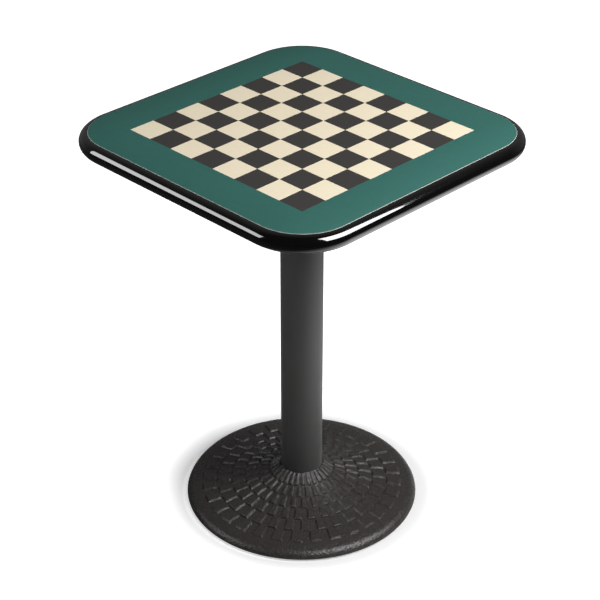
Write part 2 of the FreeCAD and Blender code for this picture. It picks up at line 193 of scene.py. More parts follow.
GROUPS = {"games_table_top": TopSettings, "games_table_stand": StandSettings,
          "games_table_foot": FootSettings, "games_table_stage": StageSettings}


# Finishes

def add(tree, kind, sockets=None, **settings):
    """Add a node with its settings; sockets holds a value or another node's output for each input by name."""
    node = tree.nodes.new(kind)
    for name, value in settings.items():
        setattr(node, name, value)
    for name, value in (sockets or {}).items():
        if isinstance(value, bpy.types.NodeSocket):
            tree.links.new(value, node.inputs[name])
        else:
            node.inputs[name].default_value = value
    return node


def per(millimetres):
    """Texture scale at which one feature is about this many millimetres across."""
    return 1000 / millimetres


def finish(name, **sockets):
    """New material with one surface shader; sockets are its plain values."""
    material = bpy.data.materials.new(name)
    material.use_nodes = True
    tree = material.node_tree
    shader = tree.nodes["Principled BSDF"]
    for socket, value in sockets.items():
        shader.inputs[socket.replace("_", " ")].default_value = value
    place = add(tree, "ShaderNodeTexCoord").outputs["Object"]
    return material, tree, shader, place


def blended(tree, shader, factor, base, dark, light):
    """Let a colour go from a darker to a lighter share of itself, by a factor."""
    mix = add(tree, "ShaderNodeMix", {"Factor": factor}, data_type="RGBA")
    for socket, level in ((COLOUR_A, dark), (COLOUR_B, light)):
        mix.inputs[socket].default_value = tuple(min(c * level, 1) for c in base) + (1,)
    tree.links.new(mix.outputs[COLOUR_RESULT], shader.inputs["Base Color"])


def mottled(tree, shader, place, base, grain, spread):
    """Let a colour wander a little, in clouds of the given grain in millimetres."""
    cloud = add(tree, "ShaderNodeTexNoise", {"Vector": place, "Scale": per(grain), "Detail": 3.0})
    blended(tree, shader, cloud.outputs["Fac"], base, 1 - spread, 1 + spread)


def raised(tree, shader, relief, depth):
    """Raise the surface by a relief of the given depth in millimetres."""
    bump = add(tree, "ShaderNodeBump", {"Height": relief, "Distance": depth / 1000})
    tree.links.new(bump.outputs["Normal"], shader.inputs["Normal"])


def grained(tree, shader, place, grain, depth, detail=2.0):
    """Raise a grain of the given width and depth in millimetres."""
    noise = add(tree, "ShaderNodeTexNoise", {"Vector": place, "Scale": per(grain), "Detail": detail})
    raised(tree, shader, noise.outputs["Fac"], depth)


def worn(tree, shader, place, grain, low, high):
    """Let the roughness wander between two values, in clouds of the given grain in millimetres."""
    cloud = add(tree, "ShaderNodeTexNoise", {"Vector": place, "Scale": per(grain), "Detail": 3.0})
    span = add(tree, "ShaderNodeMapRange", {"Value": cloud.outputs["Fac"], "From Min": 0.3, "From Max": 0.7,
                                            "To Min": low, "To Max": high})
    tree.links.new(span.outputs["Result"], shader.inputs["Roughness"])


def suede_laminate(name, base):
    """High-pressure laminate pressed against a suede plate: an even colour with a broad, weak sheen.

    The pressed grain is under 0.2 mm on a real sheet; it is drawn 0.9 mm wide so that it shows.
    """
    material, tree, shader, place = finish(name, IOR=1.5)
    mottled(tree, shader, place, base, 9.0, 0.035)
    grained(tree, shader, place, 0.9, 0.02)
    worn(tree, shader, place, 26.0, 0.48, 0.56)
    return material


def trimmed_laminate_edge(base):
    """Cut edge of the laminate, trimmed to a fine bevel and given a pale colour, so that it shows as a pale
    line.
    """
    material, tree, shader, place = finish("trimmed_laminate_edge", IOR=1.55)
    mottled(tree, shader, place, base, 3.0, 0.1)
    worn(tree, shader, place, 12.0, 0.4, 0.5)
    return material


def polished_cast_resin(base):
    """Black polyurethane cast round the top and buffed under a clear coat: mirror-like, with a faint haze."""
    material, tree, shader, place = finish("polished_cast_resin", IOR=1.6, Coat_Weight=1.0,
                                           Coat_Roughness=0.02, Coat_IOR=1.65)
    mottled(tree, shader, place, base, 60.0, 0.15)
    worn(tree, shader, place, 35.0, 0.06, 0.1)
    return material


def textured_powder_coat(base):
    """Polyester powder baked on steel with a fine sand texture: soft sheen, sparkle too small to pick out.

    The texture is about 0.4 mm on the real tube; it is drawn 1.1 mm wide so that it shows.
    """
    material, tree, shader, place = finish("textured_powder_coat", IOR=1.5, Sheen_Weight=0.22,
                                           Sheen_Roughness=0.35)
    mottled(tree, shader, place, base, 5.0, 0.06)
    grained(tree, shader, place, 1.1, 0.12)
    worn(tree, shader, place, 40.0, 0.4, 0.46)
    return material


def painted_sand_casting(name, base, grain):
    """Grey iron from a sand mould under satin black paint: a grainy skin whose crests catch the light.

    Sand grains leave marks of about 0.5 mm; they are drawn coarser so that they show.
    """
    material, tree, shader, place = finish(name, IOR=1.55)
    mottled(tree, shader, place, base, 7.0, 0.2)
    grained(tree, shader, place, grain, 1.2, detail=3.0)
    worn(tree, shader, place, 14.0, 0.23, 0.31)
    return material


def zinc_plate(base):
    """Bright zinc on steel: a metal with a soft, slightly cloudy shine."""
    material, tree, shader, place = finish("zinc_plate", Metallic=1.0)
    mottled(tree, shader, place, base, 4.0, 0.06)
    grained(tree, shader, place, 0.7, 0.01)
    worn(tree, shader, place, 6.0, 0.28, 0.42)
    return material


def moulded_nylon(base):
    """Injection-moulded nylon: a satin black plastic."""
    material, tree, shader, place = finish("moulded_nylon", IOR=1.53)
    mottled(tree, shader, place, base, 6.0, 0.08)
    grained(tree, shader, place, 0.8, 0.02)
    worn(tree, shader, place, 9.0, 0.42, 0.52)
    return material


def particle_board(base):
    """Pressed wood chips, raw: pale and dark flakes a few millimetres long, with no shine."""
    material, tree, shader, place = finish("particle_board", IOR=1.5, Roughness=0.85)
    flat = add(tree, "ShaderNodeMapping", {"Vector": place, "Scale": (1.0, 1.6, 3.0)})
    chips = add(tree, "ShaderNodeTexVoronoi", {"Vector": flat.outputs["Vector"], "Scale": per(3.5)})
    tint = add(tree, "ShaderNodeSeparateColor", {"Color": chips.outputs["Color"]})
    blended(tree, shader, tint.outputs["Red"], base, 0.55, 1.35)
    raised(tree, shader, chips.outputs["Distance"], 0.2)
    return material


def phenolic_backer(base):
    """Brown balancing laminate: plain resin-filled paper with a dull sheen."""
    material, tree, shader, place = finish("phenolic_backer", IOR=1.55)
    mottled(tree, shader, place, base, 18.0, 0.08)
    grained(tree, shader, place, 1.0, 0.02)
    worn(tree, shader, place, 30.0, 0.5, 0.6)
    return material


# Modelling

def only(*pieces):
    """Make these pieces the whole selection, the first one active."""
    if bpy.context.mode != "OBJECT":
        bpy.ops.object.mode_set(mode="OBJECT")
    bpy.ops.object.select_all(action="DESELECT")
    for piece in pieces:
        piece.select_set(True)
    bpy.context.view_layer.objects.active = pieces[0]


def named(piece, name):
    """Give a piece and its mesh one name."""
    piece.name = name
    piece.data.name = name
    return piece


def begun(name, primitive, **settings):
    """Add a primitive with nothing else selected, name it, put its place in its mesh and open it."""
    bpy.ops.object.select_all(action="DESELECT")
    primitive(**settings)
    piece = named(bpy.context.object, name)
    only(piece)
    bpy.ops.object.transform_apply(location=True, rotation=True, scale=True)
    bpy.ops.object.mode_set(mode="EDIT")
    bpy.ops.mesh.select_mode(type="VERT")
    bpy.ops.mesh.select_all(action="SELECT")
    return piece


def pick(piece, kind, test):
    """Select just the verts, edges or faces of an open piece that pass a test."""
    bpy.ops.mesh.select_mode(type={"verts": "VERT", "edges": "EDGE", "faces": "FACE"}[kind])
    bpy.ops.mesh.select_all(action="DESELECT")
    mesh = bmesh.from_edit_mesh(piece.data)
    mesh.normal_update()
    found = [element for element in getattr(mesh, kind) if test(element)]
    if not found:
        raise RuntimeError("nothing to work on in " + piece.name)
    for element in found:
        element.select_set(True)
    bmesh.update_edit_mesh(piece.data)


def draw_out(x=0.0, y=0.0, z=0.0):
    """Extrude what is selected."""
    bpy.ops.mesh.extrude_region_move(TRANSFORM_OT_translate={"value": (x, y, z)})


def welded(piece):
    """Merge a shape's doubles, point its faces outwards and close the piece."""
    bpy.ops.mesh.select_all(action="SELECT")
    bpy.ops.mesh.remove_doubles(threshold=MERGED)
    bpy.ops.mesh.normals_make_consistent(inside=False)
    bpy.ops.object.mode_set(mode="OBJECT")
    return piece


def rounded(corners, steps=5):
    """Points of a (radius, height) outline whose third value, where it has one, rounds a corner."""
    points = []
    for place, corner in enumerate(corners):
        here = Vector(corner[:2])
        if len(corner) < 3:
            points.append(tuple(here))
            continue
        back = (Vector(corners[place - 1][:2]) - here).normalized()
        ahead = (Vector(corners[(place + 1) % len(corners)][:2]) - here).normalized()
        half = back.angle(ahead) / 2
        middle = here + (back + ahead).normalized() * corner[2] / math.sin(half)
        start = here + back * corner[2] / math.tan(half) - middle
        end = here + ahead * corner[2] / math.tan(half) - middle
        sweep = math.pi - 2 * half
        for step in range(steps + 1):
            part = sweep * step / steps
            arm = (start * math.sin(sweep - part) + end * math.sin(part)) / math.sin(sweep)
            points.append(tuple(middle + arm))
    return points


def turned(name, rings, segments=96, solid=False):
    """Piece turned about the column's axis: a circle drawn out from ring to ring of (radius, height).

    A solid one starts on a disc; any other outline comes back to its first ring.
    """
    radius, height = rings[0]
    piece = begun(name, bpy.ops.mesh.primitive_circle_add, vertices=segments, radius=radius,
                  location=(0, 0, height), fill_type="NGON" if solid else "NOTHING")
    following = rings[1:] if solid else rings[1:] + rings[:1]
    for next_radius, next_height in following:
        draw_out(z=next_height - height)
        growth = next_radius / radius
        bpy.ops.transform.resize(value=(growth, growth, 1), center_override=(0, 0, 0))
        radius, height = next_radius, next_height
    return welded(piece)


def set_out(piece, places):
    """Copy a piece, each copy with its own mesh, to (x, y, turn) places, and join the copies."""
    made = []
    for x, y, turn in places:
        copy = piece.copy()
        copy.data = piece.data.copy()
        copy.location = (x, y, 0)
        copy.rotation_euler = (0, 0, turn)
        bpy.context.collection.objects.link(copy)
        made.append(copy)
    name = piece.name
    bpy.data.objects.remove(piece)
    only(*made)
    bpy.ops.object.transform_apply(location=True, rotation=True, scale=True)
    if len(made) > 1:
        bpy.ops.object.join()
    return named(made[0], name)


def joined(name, *pieces):
    """Join pieces of one casting or turning into one."""
    only(*pieces)
    bpy.ops.object.join()
    return named(pieces[0], name)


def cut(piece, cutter):
    """Take a cutter's shape out of a piece."""
    only(piece)
    modifier = piece.modifiers.new("cut", "BOOLEAN")
    modifier.operation = "DIFFERENCE"
    modifier.solver = "EXACT"
    modifier.object = cutter
    bpy.ops.object.modifier_apply(modifier=modifier.name)
    bpy.data.objects.remove(cutter)


def thread(radius, pitch, low, turns):
    """Helical ridge with its crest at a radius, rising from a height."""
    tooth = 0.5 * pitch
    piece = begun("thread", bpy.ops.mesh.primitive_circle_add, vertices=3, radius=tooth,
                  location=(radius - tooth, 0, low), rotation=(math.pi / 2, math.pi / 2, 0))
    bpy.ops.object.mode_set(mode="OBJECT")
    helix = piece.modifiers.new("helix", "SCREW")
    helix.axis = "Z"
    helix.angle = FULL_TURN
    helix.screw_offset = pitch
    helix.iterations = turns
    helix.steps = helix.render_steps = 24
    bpy.ops.object.modifier_apply(modifier=helix.name)
    bpy.ops.object.mode_set(mode="EDIT")
    bpy.ops.mesh.select_all(action="SELECT")
    bpy.ops.mesh.fill_holes(sides=4)
    return welded(piece)


def fitted(piece, body, finishes, nodes, smooth=32.0):
    """Give a finished piece its finish and set it in place of its solids.

    Faces that meet at less than the smooth angle, in degrees, are shaded as one.
    """
    only(piece)
    bpy.ops.object.transform_apply(location=True, rotation=True, scale=True)
    bpy.ops.object.shade_smooth_by_angle(angle=math.radians(smooth))
    for material in finishes:
        piece.data.materials.append(material)
    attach(piece, body)
    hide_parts(*nodes)


def dressed(node, material):
    """Give a solid that keeps its shape a better finish."""
    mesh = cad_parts[node].data
    mesh.materials.clear()
    mesh.materials.append(material)


# Top

def round_cornered(name, half, corner, height):
    """Flat square sheet with round corners, left open in edit mode."""
    piece = begun(name, bpy.ops.mesh.primitive_plane_add, size=2 * half, location=(0, 0, height))
    bpy.ops.mesh.bevel(affect="VERTICES", offset=corner, segments=32)
    return piece


class GAMES_TABLE_OT_field(bpy.types.Operator):
    """Green laminate sheet with a window for the board and a trimmed outer edge"""

    bl_idname = "games_table.field"
    bl_label = "Field"

    def execute(self, context):
        top = context.scene.games_table_top
        low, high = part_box("green_field")
        window = ROW / 2 * top.square
        past_window = window + 0.01
        piece = round_cornered("field_laminate", high.x, top.corner, high.z)
        for direction in ((1, 0, 0), (-1, 0, 0), (0, 1, 0), (0, -1, 0)):
            bpy.ops.mesh.select_all(action="SELECT")
            bpy.ops.mesh.bisect(plane_co=Vector(direction) * window, plane_no=direction)
        pick(piece, "faces", lambda face: face.calc_center_median().xy.length < window / 2)
        bpy.ops.mesh.delete(type="FACE")
        bpy.ops.mesh.select_all(action="SELECT")
        draw_out(z=low.z - high.z)
        welded(piece)
        bpy.ops.object.mode_set(mode="EDIT")

        def outer_top(edge):
            on_top = all(vert.co.z > high.z - MERGED for vert in edge.verts)
            return on_top and any(abs(face.normal.z) < 0.5 and face.normal.dot(face.calc_center_median()) > 0
                                  and max(abs(c) for c in face.calc_center_median().xy) > past_window
                                  for face in edge.link_faces)

        pick(piece, "edges", outer_top)
        bpy.ops.mesh.bevel(affect="EDGES", offset=top.trim, segments=2)
        bpy.ops.object.mode_set(mode="OBJECT")
        face_finish = suede_laminate("suede_laminate_green", top.field_colour)
        piece.data.materials.append(face_finish)
        piece.data.materials.append(trimmed_laminate_edge(top.trim_colour))
        for face in piece.data.polygons:
            bevelled = 0.3 < face.normal.z < 0.95
            face.material_index = 1 if bevelled else 0
        fitted(piece, "table", [], ["green_field"], smooth=25.0)
        return {"FINISHED"}


class GAMES_TABLE_OT_board(bpy.types.Operator):
    """Cream and charcoal laminate squares, let in flush with fine joints"""

    bl_idname = "games_table.board"
    bl_label = "Board"

    def execute(self, context):
        top = context.scene.games_table_top
        low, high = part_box("light_squares")
        finishes = {
            False: ("cream_squares", "cream_laminate", "light_squares",
                    suede_laminate("suede_laminate_cream", top.light_colour)),
            True: ("charcoal_squares", "charcoal_laminate", "dark_squares",
                   suede_laminate("suede_laminate_charcoal", top.dark_colour)),
        }
        for dark, (name, slot, node, material) in finishes.items():
            piece = begun(name, bpy.ops.mesh.primitive_plane_add, size=top.square - top.joint,
                          location=(0, 0, high.z))
            draw_out(z=low.z - high.z)
            pick(piece, "edges", lambda edge: all(vert.co.z > high.z - MERGED for vert in edge.verts))
            bpy.ops.mesh.bevel(affect="EDGES", offset=top.ease, segments=2)
            welded(piece)
            middle = (ROW - 1) / 2
            places = [(top.square * (column - middle), top.square * (row - middle), 0)
                      for column in range(ROW) for row in range(ROW) if ((column + row) % 2 == 0) == dark]
            piece = set_out(piece, places)
            fitted(piece, "table", [material], [node], smooth=25.0)
        return {"FINISHED"}


class GAMES_TABLE_OT_edge(bpy.types.Operator):
    """Half-round resin edge with the key that holds it in the core"""

    bl_idname = "games_table.edge"
    bl_label = "Resin edge"

    def execute(self, context):
        top = context.scene.games_table_top
        low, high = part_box("edge_band")
        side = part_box("green_field")[1].x
        straight = side - top.corner
        crest = high.z - top.trim
        middle = (crest + low.z) / 2
        radius = (crest - low.z) / 2
        piece = begun("resin_edge", bpy.ops.mesh.primitive_circle_add, vertices=96, radius=radius,
                      location=(side, -straight, middle), rotation=(math.pi / 2, 0, 0))
        bpy.ops.transform.resize(value=((high.x - side) / radius, 1, 1), center_override=(side, 0, 0))
        bpy.ops.mesh.bisect(plane_co=(side, 0, 0), plane_no=(1, 0, 0), clear_inner=True)
        pick(piece, "verts", lambda vert: vert.co.z > crest - MERGED)
        key_top = (low.z + high.z) / 2 + top.key_height / 2
        for x, z in ((0, key_top - crest), (-top.key_depth, 0), (0, -top.key_height), (top.key_depth, 0),
                     (0, low.z - key_top + top.key_height)):
            bpy.ops.mesh.extrude_vertices_move(TRANSFORM_OT_translate={"value": (x, 0, z)})
        bpy.ops.mesh.select_all(action="SELECT")
        bpy.ops.mesh.remove_doubles(threshold=MERGED)
        bpy.ops.mesh.select_mode(type="EDGE")
        bpy.ops.mesh.select_all(action="SELECT")
        for quarter in range(4):
            turn = Matrix.Rotation(quarter * math.pi / 2, 3, "Z")
            draw_out(*(turn @ Vector((0, 2 * straight, 0))))
            bpy.ops.mesh.spin(steps=36, angle=-math.pi / 2, center=turn @ Vector((straight, straight, 0)),
                              axis=(0, 0, 1))
        welded(piece)
        fitted(piece, "table", [polished_cast_resin(top.resin_colour)], ["edge_band"], 40.0)
        return {"FINISHED"}


class GAMES_TABLE_OT_core(bpy.types.Operator):
    """Board core and the backer under it, which keep their solids"""

    bl_idname = "games_table.core"
    bl_label = "Core"

    def execute(self, context):
        top = context.scene.games_table_top
        dressed("top_core", particle_board(top.chip_colour))
        dressed("backer_sheet", phenolic_backer(top.backer_colour))
        return {"FINISHED"}


# Spider, column and tie rod

class GAMES_TABLE_OT_spider(bpy.types.Operator):
    """Cast spider with softened edges, and the screws that hold it"""

    bl_idname = "games_table.spider"
    bl_label = "Spider"

    def execute(self, context):
        stand = context.scene.games_table_stand
        foot = context.scene.games_table_foot
        piece = bpy.data.objects.new("cast_spider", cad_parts["spider"].data.copy())
        piece.data.materials.clear()
        bpy.context.collection.objects.link(piece)
        only(piece)
        bpy.ops.object.mode_set(mode="EDIT")
        bpy.ops.mesh.select_all(action="SELECT")
        bpy.ops.mesh.remove_doubles(threshold=MERGED)
        bpy.ops.mesh.dissolve_limited(angle_limit=math.radians(1))
        bpy.ops.object.mode_set(mode="OBJECT")
        edge = piece.modifiers.new("edge", "BEVEL")
        edge.width = stand.casting_edge
        edge.segments = 2
        edge.limit_method = "ANGLE"
        edge.angle_limit = math.radians(40)
        bpy.ops.object.modifier_apply(modifier=edge.name)
        paint = painted_sand_casting("painted_spider", foot.iron_colour, 3.2)
        fitted(piece, "table", [paint], ["spider"])

        low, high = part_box("spider_screws")
        zinc = zinc_plate(stand.zinc_colour)
        head, head_height, head_edge = 0.00575, 0.004, 0.0018
        shank, point_height = 0.00275, 0.004
        head_middle, point = 0.0001, 0.0003
        recess_width, recess_height, recess_taper = 0.0011, 0.0042, 0.55
        circles = (0.185, 0.123)
        seat = low.z + head_height
        rings = rounded([(head_middle, low.z), (head, low.z, head_edge), (head, seat), (shank, seat),
                         (shank, high.z - point_height), (point, high.z)])
        screw = turned("pan_head_screws", rings, 24, solid=True)
        for turn in (0, math.pi / 2):
            slot = begun("recess", bpy.ops.mesh.primitive_cube_add, size=1, location=(0, 0, low.z),
                         rotation=(0, 0, turn), scale=(stand.recess, recess_width, recess_height))
            pick(slot, "faces", lambda face: face.normal.z > 0.5)
            bpy.ops.transform.resize(value=(recess_taper, recess_taper, 1), center_override=(0, 0, low.z))
            bpy.ops.object.mode_set(mode="OBJECT")
            cut(screw, slot)
        arms = [math.pi / 4 + arm * math.pi / 2 for arm in range(4)]
        places = [(radius * math.cos(turn), radius * math.sin(turn), turn)
                  for turn in arms for radius in circles]
        screws = set_out(screw, places)
        fitted(screws, "table", [zinc], ["spider_screws"])
        return {"FINISHED"}


class GAMES_TABLE_OT_column(bpy.types.Operator):
    """Round steel column"""

    bl_idname = "games_table.column"
    bl_label = "Column"

    def execute(self, context):
        stand = context.scene.games_table_stand
        low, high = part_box("column_tube")
        inside = high.x - stand.wall
        rings = rounded([(inside, low.z), (high.x, low.z, stand.tube_edge), (high.x, high.z, stand.tube_edge),
                         (inside, high.z)], 3)
        piece = turned("steel_column", rings, 128)
        coat = textured_powder_coat(stand.column_colour)
        fitted(piece, "table", [coat], ["column_tube"])
        return {"FINISHED"}


class GAMES_TABLE_OT_tie_rod(bpy.types.Operator):
    """Tie rod with cut threads at its ends, and its nuts and washers"""

    bl_idname = "games_table.tie_rod"
    bl_label = "Tie rod"

    def execute(self, context):
        stand = context.scene.games_table_stand
        low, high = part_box("tie_rod")
        core = high.x - THREAD_DEPTH * stand.rod_pitch
        end = stand.threaded
        bevel = 0.001
        rings = [(core - bevel, low.z), (core, low.z + bevel), (core, low.z + end),
                 (high.x, low.z + end + bevel), (high.x, high.z - end - bevel), (core, high.z - end),
                 (core, high.z - bevel), (core - bevel, high.z)]
        rod = turned("threaded_tie_rod", rings, 32, solid=True)
        turns = int(end / stand.rod_pitch) - 1
        lower = thread(high.x, stand.rod_pitch, low.z + stand.rod_pitch, turns)
        upper = thread(high.x, stand.rod_pitch, high.z - end, turns)
        rod = joined("threaded_tie_rod", rod, lower, upper)
        zinc = zinc_plate(stand.zinc_colour)
        fitted(rod, "table", [zinc], ["tie_rod"])
        for node in ("upper_washer", "upper_nut", "lower_washer", "lower_nut"):
            dressed(node, zinc)
        return {"FINISHED"}


# Foot

def ground(foot, radius, sag=None):
    """Height of the casting's plain upper surface at a radius."""
    if radius <= foot.first_ring:
        part = (radius - foot.socket) / (foot.first_ring - foot.socket)
        return foot.hub_height + (foot.ring_height - foot.hub_height) * part
    if radius <= foot.field:
        part = (radius - foot.first_ring) / (foot.field - foot.first_ring)
        dip = 4 * (foot.sag if sag is None else sag) * part * (1 - part)
        return foot.ring_height + (foot.edge_height - foot.ring_height) * part - dip
    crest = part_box("foot_casting")[1].x - foot.rim_lean
    part = (radius - foot.field) / (crest - foot.field)
    return foot.edge_height + (foot.rim_height - foot.edge_height) * part


def hollow(foot, radius):
    """Height of the casting's underside at a radius."""
    return ground(foot, radius, foot.hollow_sag) - foot.wall


def buried(foot, radius):
    """Height within the casting's wall at which a rib or a boss ends, at a radius."""
    return hollow(foot, radius) + foot.wall / 4


def ring_radii(foot):
    """Inner radius of the first ring of cobbles and the outer radius of each.

    From the second ring on, each ring is a little wider than the one inside it.
    """
    widths = [foot.ring_growth ** ring for ring in range(foot.rings - 1)]
    step = (foot.field - foot.first_ring) / sum(widths)
    return [foot.socket] + [foot.first_ring + step * sum(widths[:ring]) for ring in range(foot.rings)]


def foot_shell(foot):
    """Open-bottomed dome with a rounded rim and a solid hub."""
    low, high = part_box("foot_casting")
    outside = high.x
    inside = outside - foot.rim_wall
    radii = ring_radii(foot)
    corners = [(foot.rod_hole, foot.web), (foot.rod_hole, foot.seat), (foot.socket, foot.seat)]
    corners += [(radius, ground(foot, radius)) for radius in radii]
    corners += [(outside - foot.rim_lean, foot.rim_height, foot.rim_round)]
    corners += [(outside + foot.rim_flare, low.z, foot.rim_foot)]
    corners += [(inside, low.z, foot.rim_foot), (inside, hollow(foot, inside), foot.rim_foot)]
    corners += [(radius, hollow(foot, radius)) for radius in reversed(radii) if foot.hub < radius < inside]
    corners += [(foot.hub, hollow(foot, foot.hub)), (foot.hub, foot.web)]
    return turned("foot_shell", rounded(corners, 8), 192)


def foot_cobble(foot, inner, outer, share, far_draft):
    """Raised cobble along +X between two radii, with sides and ends that lean in."""
    rise = foot.cobble_height + foot.cobble_root
    steep = rise / foot.cobble_height
    near = inner + foot.cobble_joint / 2 - foot.cobble_draft * (steep - 1)
    far = outer - foot.cobble_joint / 2 + far_draft * (steep - 1)
    middle = (near + far) / 2
    fall = (ground(foot, outer) - ground(foot, inner)) / (outer - inner)
    level = ground(foot, inner) + fall * (middle - inner)
    half = middle * math.tan(math.pi / foot.per_ring * share) + foot.cobble_draft * (steep - 1)
    narrowest = 0.4
    piece = begun("cobble", bpy.ops.mesh.primitive_cube_add, size=1, scale=(far - near, 2 * half, rise),
                  location=(middle, 0, level - foot.cobble_root + rise / 2))
    for side, radius, draft in ((-1, near, foot.cobble_draft), (1, far, far_draft)):
        drop = side * fall * (far - near) / 2
        pick(piece, "verts", lambda vert: (vert.co.x - middle) * side > 0)
        bpy.ops.transform.resize(value=(1, radius / middle, 1), center_override=(middle, 0, level))
        bpy.ops.transform.translate(value=(0, 0, drop))
        pick(piece, "verts", lambda vert: (vert.co.x - middle) * side > 0 and vert.co.z > level + drop)
        narrow = max(1 - foot.cobble_draft * steep / (half * radius / middle), narrowest)
        bpy.ops.transform.resize(value=(1, narrow, 1), center_override=(middle, 0, level))
        inward = -side * draft * steep
        bpy.ops.transform.translate(value=(inward, 0, inward * fall))
    return piece


def touches_top(edge):
    """Whether an edge of a cobble meets a face of its top."""
    return any(face.normal.z > UPWARD for vert in edge.verts for face in vert.link_faces)


def runs_along_top(edge):
    """Whether an edge bounds the top of a flute and runs away from the column."""
    lengthwise = abs((edge.verts[0].co - edge.verts[1].co).x) > 0.01
    return lengthwise and any(face.normal.z > UPWARD for face in edge.link_faces)


def cobble_ring(foot, ring, inner, outer):
    """One ring of cobbles; those of the first ring are round-topped flutes."""
    last = ring == foot.rings - 1
    far_draft = foot.cobble_draft if last else foot.cobble_end
    piece = foot_cobble(foot, inner, outer, foot.cobble_share if ring else foot.flute_share, far_draft)
    if ring:
        pick(piece, "edges", touches_top)
        bpy.ops.mesh.bevel(affect="EDGES", offset=foot.cobble_edge, segments=1)
    else:
        pick(piece, "edges", runs_along_top)
        bpy.ops.mesh.bevel(affect="EDGES", offset=foot.flute_edge, segments=4)
    welded(piece)
    piece.name = "cobble_ring_%d" % ring
    pitch = FULL_TURN / foot.per_ring
    first = foot.turn + pitch / 2 * ((foot.rings - 1 - ring) % 2)
    return set_out(piece, [(0, 0, first + pitch * place) for place in range(foot.per_ring)])


def foot_rib(foot):
    """Upright web under the casting along +X, drawn out from the hub to the rim."""
    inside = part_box("foot_casting")[1].x - foot.rim_wall
    start = foot.hub - foot.rib
    lift = 0.006
    stations = [start] + [radius for radius in ring_radii(foot) if foot.hub < radius < inside]
    stations += [inside, inside + foot.rim_wall / 2]

    def heights(radius):
        part = min((radius - start) / (inside - start), 1)
        return foot.web + (lift - foot.web) * part, buried(foot, radius)

    low, high = heights(start)
    centre = (start, 0, (low + high) / 2)
    piece = begun("rib", bpy.ops.mesh.primitive_plane_add, size=foot.rib, location=centre,
                  rotation=(0, math.pi / 2, 0))
    bpy.ops.transform.resize(value=(1, 1, (high - low) / foot.rib), center_override=centre)
    here = start
    for radius in stations[1:]:
        draw_out(x=radius - here)
        next_low, next_high = heights(radius)
        middle = (low + high) / 2
        for upper, step in ((False, next_low - low), (True, next_high - high)):
            pick(piece, "verts", lambda vert: vert.co.x > radius - MERGED and (vert.co.z > middle) == upper)
            bpy.ops.transform.translate(value=(0, 0, step))
        pick(piece, "faces", lambda face: all(vert.co.x > radius - MERGED for vert in face.verts))
        low, high, here = next_low, next_high, radius
    return welded(piece)


def glide_spots():
    """X and Y of every glide, in the order of their numbers."""
    spots = []
    for number in range(1, GLIDES + 1):
        low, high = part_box("glide_pad_%d" % number)
        spots.append(((low.x + high.x) / 2, (low.y + high.y) / 2))
    return spots


class GAMES_TABLE_OT_foot(bpy.types.Operator):
    """Cobbled cast foot with ribs and glide bosses underneath"""

    bl_idname = "games_table.foot"
    bl_label = "Foot"

    def execute(self, context):
        foot = context.scene.games_table_foot
        radii = ring_radii(foot)
        parts = [foot_shell(foot)]
        parts += [cobble_ring(foot, ring, radii[ring], radii[ring + 1]) for ring in range(foot.rings)]
        turns = [FULL_TURN / foot.ribs * place for place in range(foot.ribs)]
        parts.append(set_out(foot_rib(foot), [(0, 0, turn) for turn in turns]))
        spots = glide_spots()
        x, y = spots[0]
        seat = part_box("lock_nuts")[1].z
        end = buried(foot, math.hypot(x, y))
        boss_edge, flare = 0.0008, 0.0006
        boss = turned("boss", rounded([(STUD_HOLE, seat), (foot.boss, seat, boss_edge),
                                       (foot.boss + flare, end), (STUD_HOLE, end)], 3), 48)
        parts.append(set_out(boss, [(x, y, 0) for x, y in spots]))
        piece = joined("cast_foot", *parts)
        paint = painted_sand_casting("painted_foot", foot.iron_colour, 3.2)
        fitted(piece, "table", [paint], ["foot_casting"], 16.0)
        return {"FINISHED"}


class GAMES_TABLE_OT_glides(bpy.types.Operator):
    """Nylon pads on threaded studs, with their lock nuts"""

    bl_idname = "games_table.glides"
    bl_label = "Levelling glides"

    def execute(self, context):
        stand = context.scene.games_table_stand
        zinc = zinc_plate(stand.zinc_colour)
        nylon = moulded_nylon(stand.nylon_colour)
        axis = 0.0005
        sole_edge, pad_edge = 0.0009, 0.0012
        dish, dish_floor, dish_depth, pocket_depth = 0.0075, 0.0070, 0.0006, 0.0025
        point = 0.0008
        for number, (x, y) in enumerate(glide_spots(), start=1):
            low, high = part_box("glide_pad_%d" % number)
            radius = (high.x - low.x) / 2
            pad = turned("moulded_pad_%d" % number, rounded([
                (axis, low.z), (radius, low.z, sole_edge), (radius, high.z, pad_edge), (dish, high.z),
                (dish_floor, high.z - dish_depth), (STUD_HOLE, high.z - dish_depth),
                (STUD_HOLE, high.z - pocket_depth), (axis, high.z - pocket_depth)], 4), 48, solid=True)
            pad = set_out(pad, [(x, y, 0)])
            body = "glide_%d" % number
            fitted(pad, body, [nylon], ["glide_pad_%d" % number])
            low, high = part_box("glide_stud_%d" % number)
            radius = (high.x - low.x) / 2
            core = radius - THREAD_DEPTH * stand.stud_pitch
            stud = turned("threaded_stud_%d" % number, [
                (axis, low.z), (core, low.z), (core, high.z - point), (core - point, high.z)], 24, solid=True)
            turns = int((high.z - low.z) / stand.stud_pitch) - 1
            stud = joined(stud.name, stud, thread(radius, stand.stud_pitch, low.z + point, turns))
            stud = set_out(stud, [(x, y, 0)])
            fitted(stud, body, [zinc], ["glide_stud_%d" % number])
        dressed("lock_nuts", zinc)
        return {"FINISHED"}
